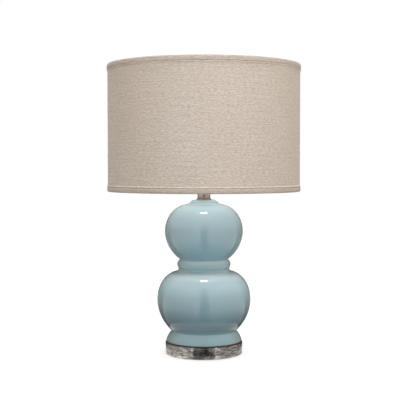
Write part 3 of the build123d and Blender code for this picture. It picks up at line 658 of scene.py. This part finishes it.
# ---------------------------------------------------------------- neck
# A brass spool turned with a flange at each end. It slips over the pipe and is clamped between
# the collar and the saddle. It is nickel plated, and toned down to a warm grey.
neck_box = [[v / MM for v in corner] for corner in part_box("neck")]
neck_low, neck_high = neck_box[0][2], neck_box[1][2]
flange_radius = 14.4
flange_height = 2.6
flange_round = 1.1
flange_lip = 0.4
shank_radius = 12.8
cove_height = 2.4
cove_start = 0.5
cove_reach = 0.9
cove_bow = -0.25
flange_middle = flange_radius - flange_round
neck_outline = [
    (pipe_hole, neck_low),
    *arc((flange_middle, neck_low + flange_round), flange_round, -90, 0, 6),
    *arc((flange_middle, neck_low + flange_height - flange_round + flange_lip), flange_round, 0, 70, 5),
    *bowed(
        (shank_radius + cove_reach, neck_low + flange_height + cove_start),
        (shank_radius, neck_low + flange_height + cove_height), cove_bow, 5,
    ),
    *bowed(
        (shank_radius, neck_high - flange_height - cove_height),
        (shank_radius + cove_reach, neck_high - flange_height - cove_start), cove_bow, 5,
    ),
    *arc((flange_middle, neck_high - flange_height + flange_round - flange_lip), flange_round, -70, 0, 5),
    *arc((flange_middle, neck_high - flange_round), flange_round, 0, 90, 6),
    (pipe_hole, neck_high),
]
neck_spool = turned("neck_spool", neck_outline, steps=96)

# Nickel plate, toned and lacquered: a warm brownish grey that is still bright, with level lathe
# marks, drawn 4 mm long and half a millimetre high to show.
antique = metal(
    "antique_nickel_plate", 4.0, "#7f6e62", "#b3a091", (0.2, 0.32), stretch=(1, 1, 9.0), shares=(0.3, 0.7)
)
wear(neck_spool, antique)
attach(neck_spool, "base")
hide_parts("neck")


# ---------------------------------------------------------------- saddle and socket
# The saddle is a strip of steel, pressed and nickel plated, under the nut on the pipe. The socket
# screws on above it: a brass shell, nickel plated too, over a paper liner, a black phenolic core
# and bare brass contacts.

# Nickel plate over polished brass: bright and slightly warm, with faint clouds.
nickel = metal("polished_nickel_plate", 14.0, "#c2b9ae", "#cfc7bd", (0.08, 0.16))

# Nickel plate over brushed steel: a soft shine, with upright brush marks drawn a millimetre wide.
satin = metal(
    "satin_nickel_plate", 1.0, "#aaa49b", "#c6c0b6", (0.24, 0.4), detail=4.0, stretch=(1, 1, 0.15)
)
wear(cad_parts["harp_saddle"], satin)
for node in ("socket_cap", "socket_shell"):
    wear(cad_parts[node], nickel)

# Vulcanised fibre: stiff tan card, matt, mottled by its pulp.
fibre, tree, shader, _ = mottled("vulcanised_fibre_paper", 1.5, "#9c8d74", "#b3a58c", detail=5.0)
shader.inputs["Roughness"].default_value = 0.8
wear(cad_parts["socket_liner"], fibre)

# Moulded phenolic: hard, nearly black, half shiny, with a fine speck.
phenolic, tree, shader, _ = mottled("moulded_black_phenolic", 0.8, "#201d1b", "#2f2b28", detail=4.0)
shader.inputs["Roughness"].default_value = 0.35
for node in ("socket_core", "switch_knob", "bulb_contact"):
    wear(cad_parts[node], phenolic)

# Bare brass: yellow and bright, with dull patches of tarnish.
brass = metal("bare_brass", 2.5, "#b08f4c", "#d4b672", (0.2, 0.38), detail=4.0)
for node in ("terminal_screws", "screw_shell", "centre_contact", "switch_spindle"):
    wear(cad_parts[node], brass)


# ---------------------------------------------------------------- bulb
# A frosted bulb of the common pear shape, blown in glass and coated inside with silica. It is
# cemented into a screw of rolled aluminium, shown without its thread.

# Glass with a silica coat: an even warm white with a soft shine.
frost, tree, shader, _ = mottled("frosted_bulb_glass", 4.0, "#eceae4", "#f5f4ef")
shader.inputs["Roughness"].default_value = 0.3
wear(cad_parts["bulb_glass"], frost)

# Rolled aluminium: pale cool grey, half bright, with fine level streaks.
aluminium, tree, shader, _ = mottled("rolled_aluminium", 1.5, "#b9babb", "#d3d4d5", stretch=(1, 1, 4.0))
shader.inputs["Metallic"].default_value = 1.0
shader.inputs["Roughness"].default_value = 0.3
wear(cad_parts["bulb_screw"], aluminium)


# ---------------------------------------------------------------- harp, sleeves and stud
# The harp is bent from nickel plated wire, with slotted feet that drop over the saddle's tabs. A
# sleeve slides down to lock each foot, and a stud of zinc plated steel turns in the harp's eye.
wear(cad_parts["harp"], satin)
for node in ("harp_sleeve_left", "harp_sleeve_right"):
    wear(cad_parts[node], nickel)
wear(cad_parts["swivel_stud"], zinc)


# ---------------------------------------------------------------- shade frame and liner
# Two wire rings and a spider of three wires, welded and nickel plated. Between the rings stands a
# drum of white styrene sheet, rolled up and glued.
styrene_thickness = 0.5
liner_low, liner_high = [[v / MM for v in corner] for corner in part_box("shade_liner")]
liner_radius = liner_high[0]
for node in ("spider_hub", "spider_arms", "shade_top_ring", "shade_bottom_ring"):
    wear(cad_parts[node], satin)
liner_outline = [
    (liner_radius, liner_low[2]), (liner_radius, liner_high[2]),
    (liner_radius - styrene_thickness, liner_high[2]), (liner_radius - styrene_thickness, liner_low[2]),
]
liner = turned("styrene_drum", liner_outline, steps=256)

# Styrene sheet: warm white and smooth, a little shiny, so that the drum is bright inside.
styrene, tree, shader, _ = mottled("white_styrene_sheet", 20.0, "#e6e3da", "#efece4")
shader.inputs["Roughness"].default_value = 0.4
wear(liner, styrene)
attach(liner, "shade")
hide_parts("shade_liner")


# ---------------------------------------------------------------- shade fabric
# Slubby linen, woven in greige and laminated to the styrene drum. Thick and thin yarns run round
# the drum and up it, and the thick ones, the slubs, stand out as short level ridges.
fabric_low_corner, fabric_high_corner = [[v / MM for v in corner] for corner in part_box("shade_fabric")]
fabric_radius = fabric_high_corner[0]
fabric_low, fabric_high = fabric_low_corner[2], fabric_high_corner[2]
fabric_rows = 60
linen_face = fabric_radius - 0.1
linen_back = fabric_radius - 0.8
rows = [fabric_low + (fabric_high - fabric_low) * n / fabric_rows for n in range(fabric_rows + 1)]
fabric_outline = [(linen_face, z) for z in rows] + [(linen_back, z) for z in reversed(rows)]
linen = turned("linen_cover", fabric_outline, steps=384)

# Woven linen: matt, flecked with paler and darker yarns, with a faint nap that lifts the drum's
# sides. Its yarns are about half a millimetre wide and would not show, so they are drawn 2 mm wide.
slub_linen, tree, shader = finish_material("slub_linen_weave")
place = add(tree, "ShaderNodeTexCoord").outputs["Object"]
parts = add(tree, "ShaderNodeSeparateXYZ", {0: place}).outputs
ahead = add(tree, "ShaderNodeMath", {0: parts["Y"], 1: -1.0}, operation="MULTIPLY").outputs[0]
angle = add(tree, "ShaderNodeMath", {0: parts["X"], 1: ahead}, operation="ARCTAN2").outputs[0]
round_it = add(tree, "ShaderNodeMath", {0: angle, 1: fabric_radius * MM}, operation="MULTIPLY").outputs[0]
unrolled = add(tree, "ShaderNodeCombineXYZ", {"X": round_it, "Y": parts["Z"]}).outputs[0]


def yarns(length_mm, width_mm, detail=2.0, upright=False):
    """Streaks along the yarns of the linen, of a given length and width in millimetres."""
    along, across = 1 / (length_mm * MM), 1 / (width_mm * MM)
    scale = (across, along, 1) if upright else (along, across, 1)
    laid = add(tree, "ShaderNodeMapping", {"Vector": unrolled, "Scale": scale}).outputs[0]
    noise = {"Vector": laid, "Scale": 1.0, "Detail": detail}
    return add(tree, "ShaderNodeTexNoise", noise, noise_dimensions="2D").outputs[0]


cloth = {0: 0.3, 2: yarns(8.0, 1.7), 3: yarns(6.5, 1.9, upright=True)}
cloth = add(tree, "ShaderNodeMix", cloth, data_type="FLOAT").outputs[0]
slubs = {0: 0.45, 2: cloth, 3: yarns(6.0, 2.0, detail=3.0)}
cloth = add(tree, "ShaderNodeMix", slubs, data_type="FLOAT").outputs[0]
long_yarns = {0: 0.2, 2: cloth, 3: yarns(70.0, 2.4)}
cloth = add(tree, "ShaderNodeMix", long_yarns, data_type="FLOAT").outputs[0]
tone = add(tree, "ShaderNodeValToRGB", {"Fac": cloth})
lay_tones(tone.color_ramp, ((0.36, "#a89c90"), (0.64, "#cabfb5")))
tree.links.new(tone.outputs[0], shader.inputs["Base Color"])
weave = add(tree, "ShaderNodeBump", {"Height": cloth, "Strength": 0.8, "Distance": 1.2 * MM})
tree.links.new(weave.outputs[0], shader.inputs["Normal"])
shader.inputs["Roughness"].default_value = 0.9
shader.inputs["Sheen Weight"].default_value = 0.15
wear(linen, slub_linen)
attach(linen, "shade")
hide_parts("shade_fabric")


# ---------------------------------------------------------------- trims
# Tape of the same linen, turned under along its upper edge, folded over the wire at both rims and
# glued down. Its ends overlap at the back, where the linen's own edges overlap too. Heights on the
# tape are counted from its rim inwards.
top_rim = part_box("shade_top_trim")[1][2] / MM
bottom_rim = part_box("shade_bottom_trim")[0][2] / MM
tape_outside = fabric_radius + 1.25
tape_inside = 184.6
tape_thickness = 0.9
tape_height = 13.0
lip_height = 3.2
lip_stand = 0.1
lip_drop = 0.9
lip_rise = 0.6
lip_round = 0.75
lip_bow = -0.3
groove_height = 1.3
groove_stand = 0.15
groove_in, groove_down = 0.8, 0.7
groove_round = 0.95
rim_slope = 4.0
rim_depth = 1.6
leg_height = 6.0
leg_round = 1.5
fold_round = 0.7
lap_layer = 0.45
lap_first, lap_sweep = 87.6, 4.2
seam_first, seam_sweep = 88.0, 3.6
seam_tuck = 1.0
seam_face, seam_back = fabric_radius + 0.35, fabric_radius - 0.2
tape_rim_shade_tones = ((0.0, "#c6c4c3"), (2.0, "#ebeae8"), (tape_height, "#ffffff"))


def tape_outline(rim, up, layer=0.0):
    """The section of a folded tape, from the lip down its face, over the rim and up its inner leg.

    A layer puts it that far outside another tape.
    """
    out, inner, leg = tape_outside + layer, tape_inside - layer, tape_inside + tape_thickness
    lip = tape_height - lip_height
    groove = lip - groove_height
    slope = [
        (out - rim_depth + r * rim_depth, rim_slope + z * (rim_slope + layer))
        for r, z in arc((0, 0), 1, 0, -90)
    ]
    shape = [
        *bowed((linen_face + lip_stand + layer, tape_height), (out, lip + lip_drop), lip_bow, 5),
        *arc((out - lip_round, lip + lip_rise), lip_round, 0, -60, 3),
        (linen_face + groove_stand + layer, lip - groove_height / 2),
        *arc((out - groove_in, groove - groove_down), groove_round, 60, 0, 3),
        *slope,
        *arc((inner + leg_round, leg_round - layer), leg_round, -90, -180, 6),
        (inner, leg_height),
        (leg, leg_height),
        *arc((leg + fold_round, tape_thickness + fold_round), fold_round, 180, 270, 3),
        (linen_face, tape_thickness),
        (linen_face, tape_height),
    ]
    return [(r, rim + up * z) for r, z in shape]


def short_sweep(name, outline, first, sweep):
    """A short stretch of a tape or sheet round the drum, with its cut ends closed."""
    piece = turned(name, outline, steps=8, first=first, sweep=sweep)
    bpy.ops.object.mode_set(mode="EDIT")
    bpy.ops.mesh.select_all(action="SELECT")
    bpy.ops.mesh.fill_holes(sides=0)
    bpy.ops.mesh.select_all(action="SELECT")
    bpy.ops.mesh.normals_make_consistent(inside=False)
    bpy.ops.object.mode_set(mode="OBJECT")
    return piece


# The same linen, folded double: paler than the cover. It greys towards each rim, most in the last
# 2 mm, where the tape turns over the wire: painted shade.
tape_linen = slub_linen.copy()
tape_linen.name = "slub_linen_tape"
tree = tape_linen.node_tree
shader = next(node for node in tree.nodes if node.type == "BSDF_PRINCIPLED")
woven = shader.inputs["Base Color"].links[0].from_socket
place = add(tree, "ShaderNodeTexCoord").outputs["Object"]
level = add(tree, "ShaderNodeSeparateXYZ", {0: place}).outputs["Z"]
middle, half = (top_rim + bottom_rim) / 2 * MM, (top_rim - bottom_rim) / 2 * MM
# Darker towards each rim: painted shade where the tape turns over the wire.
off = add(tree, "ShaderNodeMath", {0: level, 1: middle}, operation="SUBTRACT").outputs[0]
off = add(tree, "ShaderNodeMath", {0: off}, operation="ABSOLUTE").outputs[0]
inward = {"Value": off, "From Min": half, "From Max": half - tape_height * MM}
rim_shade_ramp = add(tree, "ShaderNodeValToRGB", {"Fac": add(tree, "ShaderNodeMapRange", inward).outputs[0]})
lay_tones(rim_shade_ramp.color_ramp, [(height / tape_height, text) for height, text in tape_rim_shade_tones])
tape_with_rim_shade = {0: 1.0, 6: woven, 7: rim_shade_ramp.outputs[0]}
tape_with_rim_shade = add(tree, "ShaderNodeMix", tape_with_rim_shade, data_type="RGBA", blend_type="MULTIPLY")
tree.links.new(tape_with_rim_shade.outputs[2], shader.inputs["Base Color"])

bindings = []
for name, rim, up in (("top", top_rim, -1), ("bottom", bottom_rim, 1)):
    tape = turned(f"{name}_tape", tape_outline(rim, up), steps=384)
    lap = short_sweep(f"{name}_tape_lap", tape_outline(rim, up, lap_layer), lap_first, lap_sweep)
    for piece in (tape, lap):
        wear(piece, tape_linen)
        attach(piece, "shade")
    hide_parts(f"shade_{name}_trim")
    bindings += [tape, lap]

seam_low, seam_high = bottom_rim + tape_height - seam_tuck, top_rim - tape_height + seam_tuck
seam_outline = [
    (seam_face, seam_low), (seam_face, seam_high), (seam_back, seam_high), (seam_back, seam_low),
]
seam = short_sweep("linen_seam", seam_outline, seam_first, seam_sweep)
wear(seam, slub_linen)
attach(seam, "shade")


# ---------------------------------------------------------------- finial
# A small knob of turned brass, nickel plated and polished like the socket. It screws down on the
# stud and holds the spider's hub.
wear(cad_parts["finial"], nickel)
